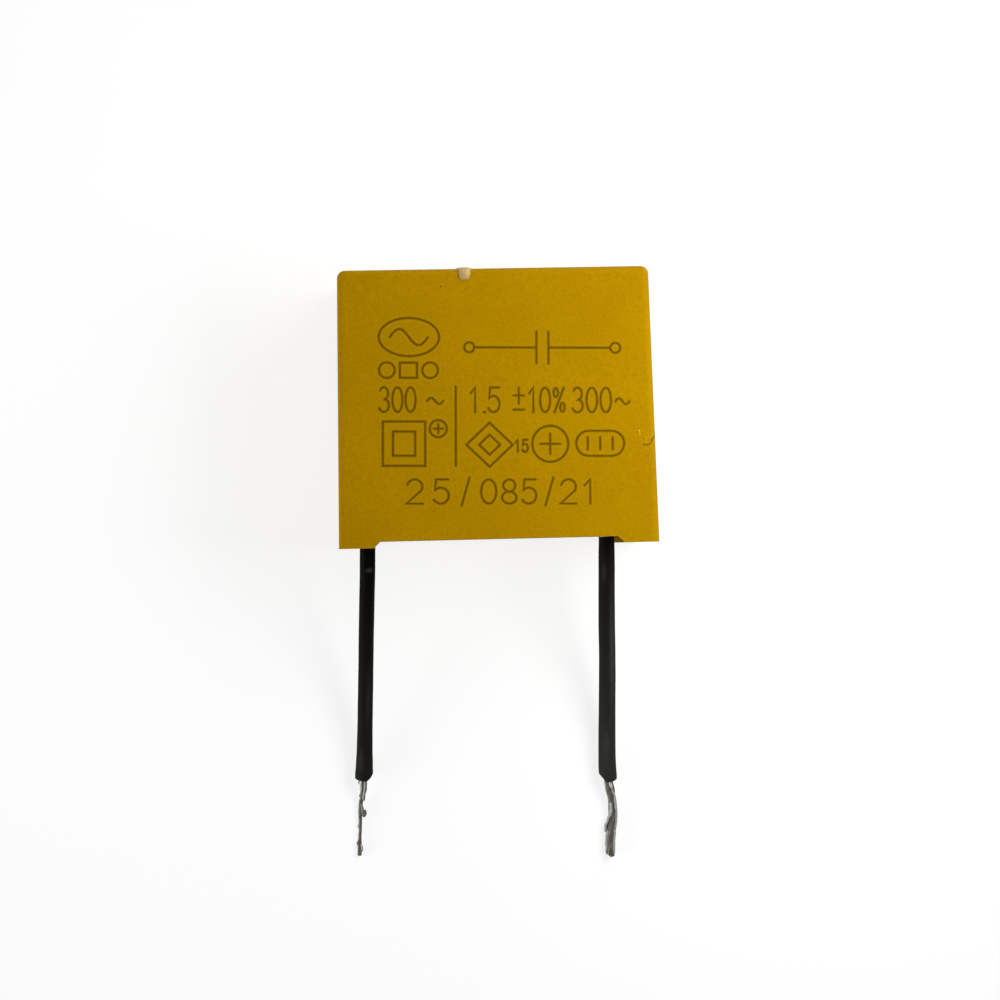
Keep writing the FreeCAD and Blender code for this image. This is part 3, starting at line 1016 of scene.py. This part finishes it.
SCUFF_MIDDLE = (14.98, -3.55)
SCUFF_HALF = (0.82, 0.54)
SCUFF_X = (14.12, 15.80)
SCUFF_Y = (-4.15, -2.88)
SCUFF_SUNK = 0.02
SCORE_LIFT = 0.05
FLECK_LIFT = 0.006


def scuff():
    """A rough patch of raised burrs across the rounded side edge."""
    columns = 46
    rows = 34
    places = []
    for row in range(rows + 1):
        y = SCUFF_Y[0] + (SCUFF_Y[1] - SCUFF_Y[0]) * row / rows
        for column in range(columns + 1):
            x = SCUFF_X[0] + (SCUFF_X[1] - SCUFF_X[0]) * column / columns
            from_middle = Vector(((x - SCUFF_MIDDLE[0]) / SCUFF_HALF[0],
                                  (y - SCUFF_MIDDLE[1]) / SCUFF_HALF[1]))
            inside = max(1 - from_middle.length_squared, 0.0) ** 0.7
            ridges = abs(noise.noise(Vector((x * 3.2, y * 3.2, 7.0))))
            crumbs = max(noise.noise(Vector((x * 8.0, y * 8.0, 2.0))), 0)
            lift = inside * (0.03 + 0.08 * ridges + 0.04 * crumbs) - SCUFF_SUNK
            places.append(on_front(x, y, lift))
    faces = []
    for row in range(rows):
        for column in range(columns):
            here = row * (columns + 1) + column
            faces.append((here, here + 1, here + columns + 2, here + columns + 1))
    piece("scuff", places, faces, scuff_and_dent_shade())


def scuff_and_dent_shade():
    look = Look("scuff_and_dent_shade", Specular_IOR_Level=0.04, Specular_Tint=YELLOW_TINT)
    crumb = look.grain(0.3, detail=4.0, roughness=0.65)
    # Darker where the bumps are low: painted shade in the dents of the scuffed plastic.
    look.colour(look.mottle(crumb, (0.26, 0.135, 0.0006), (0.49, 0.275, 0.001)))
    look.roughness(look.spread(crumb, 0.35, 0.6))
    look.relief((crumb, 0.03))
    return look.material


def fleck(name, x, y, wide, high, look):
    """A small uneven spot on the face."""
    around = 18
    places = []
    for angle in circle(around):
        uneven = 1 + 0.35 * ring_noise(angle, x, scale=1.3)
        places.append(on_front(x + wide / 2 * uneven * math.cos(angle),
                               y + high / 2 * uneven * math.sin(angle), FLECK_LIFT))
    piece(name, places, [tuple(range(around))], look, smooth=False)


def painted_shadow_line(name, points, width, look):
    """A thin dark line of painted shadow, as a score casts, that follows points on the face and
    narrows at its ends.
    """
    tip_share = 0.3
    places = []
    for index, (x, y) in enumerate(points):
        ahead = Vector(points[min(index + 1, len(points) - 1)]) - Vector(points[max(index - 1, 0)])
        side = Vector((-ahead.y, ahead.x)).normalized() * width / 2
        if index in (0, len(points) - 1):
            side *= tip_share
        places.append(on_front(x + side.x, y + side.y, SCORE_LIFT))
        places.append(on_front(x - side.x, y - side.y, SCORE_LIFT))
    faces = [(2 * i + 1, 2 * i + 3, 2 * i + 2, 2 * i) for i in range(len(points) - 1)]
    piece(name, places, faces, look, smooth=False)


scuff()
# One dark look for the painted shadow line of the score and for the two dark flecks in the
# plastic.
fleck_and_shadow_look = printing_ink("dark_fleck_and_shadow_line", (0.11, 0.055, 0.0005), (0.21, 0.112, 0.0008))
pale_look = printing_ink("pale_speck", (0.62, 0.40, 0.03), (0.70, 0.47, 0.05))
# Painted shadow: a dark band on the face where the score's edge casts shade.
painted_shadow_line("score_shadow", ((14.48, -3.97), (14.79, -4.01), (15.10, -4.00), (15.33, -3.72),
                           (15.56, -3.30), (15.74, -3.07)), 0.10, fleck_and_shadow_look)
fleck("speck_upper", 14.19, -2.60, 0.16, 0.16, pale_look)
fleck("speck_lower", 14.22, -2.91, 0.13, 0.10, pale_look)
fleck("fleck_top", -5.30, 12.16, 0.22, 0.16, fleck_and_shadow_look)
fleck("fleck_low", -6.50, -10.14, 0.16, 0.14, fleck_and_shadow_look)


# Floor, world and lamps

FLOOR_SIZE = 6.0
FLOOR_DROP = 0.02 * MM
FLOOR_GREY = 0.72
SHADE_SHARE = 0.26
FLOOR_GLOW = 0.80
FLOOR_NEAR = 0.10
FLOOR_FAR = 0.60
AMBIENT = 0.13


def seen_directly(tree):
    """1 for rays from the camera, and for reflections and see-through rays."""
    path = tree.nodes.new("ShaderNodeLightPath")
    factor = path.outputs["Is Camera Ray"]
    for other in ("Is Glossy Ray", "Is Transmission Ray"):
        larger = tree.nodes.new("ShaderNodeMath")
        larger.operation = "MAXIMUM"
        tree.links.new(factor, larger.inputs[0])
        tree.links.new(path.outputs[other], larger.inputs[1])
        factor = larger.outputs[0]
    return factor


def pale_floor():
    """A plain floor that looks white, keeps the object's shadow and has no horizon far away."""
    material = bpy.data.materials.new("floor")
    material.use_nodes = True
    tree = material.node_tree
    tree.nodes.clear()
    output = tree.nodes.new("ShaderNodeOutputMaterial")
    total = tree.nodes.new("ShaderNodeAddShader")
    diffuse = tree.nodes.new("ShaderNodeBsdfDiffuse")
    glow = tree.nodes.new("ShaderNodeEmission")
    shade = tree.nodes.new("ShaderNodeMix")
    shade.data_type = "RGBA"
    for socket, grey in ((shade.inputs[6], FLOOR_GREY), (shade.inputs[7], SHADE_SHARE)):
        socket.default_value = (grey, grey, grey, 1)
    strength = tree.nodes.new("ShaderNodeMath")
    strength.operation = "MULTIPLY"
    places = tree.nodes.new("ShaderNodeTexCoord")
    far = tree.nodes.new("ShaderNodeVectorMath")
    far.operation = "LENGTH"
    glow_level = tree.nodes.new("ShaderNodeMapRange")
    for socket, value in (("From Min", FLOOR_NEAR), ("From Max", FLOOR_FAR),
                          ("To Min", FLOOR_GLOW), ("To Max", 1.0)):
        glow_level.inputs[socket].default_value = value
    tree.links.new(places.outputs["Object"], far.inputs[0])
    tree.links.new(far.outputs["Value"], glow_level.inputs["Value"])
    tree.links.new(glow_level.outputs["Result"], strength.inputs[1])
    factor = seen_directly(tree)
    tree.links.new(factor, shade.inputs["Factor"])
    tree.links.new(shade.outputs[2], diffuse.inputs["Color"])
    tree.links.new(factor, strength.inputs[0])
    tree.links.new(strength.outputs[0], glow.inputs["Strength"])
    tree.links.new(diffuse.outputs[0], total.inputs[0])
    tree.links.new(glow.outputs[0], total.inputs[1])
    tree.links.new(total.outputs[0], output.inputs["Surface"])
    return material


half_floor = FLOOR_SIZE / 2
floor_mesh = bpy.data.meshes.new("floor")
floor_mesh.from_pydata([(-half_floor, -half_floor, 0), (half_floor, -half_floor, 0),
                        (half_floor, half_floor, 0), (-half_floor, half_floor, 0)],
                       [], [(0, 1, 2, 3)])
floor_mesh.materials.append(pale_floor())
floor = bpy.data.objects.new("floor", floor_mesh)
floor.location.z = -FLOOR_DROP
bpy.context.scene.collection.objects.link(floor)

world = bpy.data.worlds.new("world")
bpy.context.scene.world = world
world.use_nodes = True
world_tree = world.node_tree
ambient = world_tree.nodes["Background"]
ambient.inputs["Color"].default_value = (1, 1, 1, 1)
ambient_level = world_tree.nodes.new("ShaderNodeMapRange")
ambient_level.inputs["To Min"].default_value = AMBIENT
ambient_level.inputs["To Max"].default_value = 1.0
world_tree.links.new(seen_directly(world_tree), ambient_level.inputs["Value"])
world_tree.links.new(ambient_level.outputs["Result"], ambient.inputs["Strength"])


def lamp(name, place, size, watts):
    """A soft square lamp that faces the object, its place and size in metres."""
    data = bpy.data.lights.new(name, "AREA")
    data.shape = "SQUARE"
    data.size = size
    data.energy = watts
    made = bpy.data.objects.new(name, data)
    made.location = place
    made.rotation_euler = Vector(place).to_track_quat("Z", "Y").to_euler()
    bpy.context.scene.collection.objects.link(made)


lamp("key_low", (0.065, 0.0, 0.08), 0.05, 0.061)
lamp("key_high", (0.05, 0.045, 0.075), 0.05, 0.040)
lamp("left", (-0.30, -0.10, 0.03), 0.20, 1.2)
lamp("back", (0.05, 0.34, 0.10), 0.24, 0.50)

bpy.context.scene.view_settings.view_transform = "Standard"
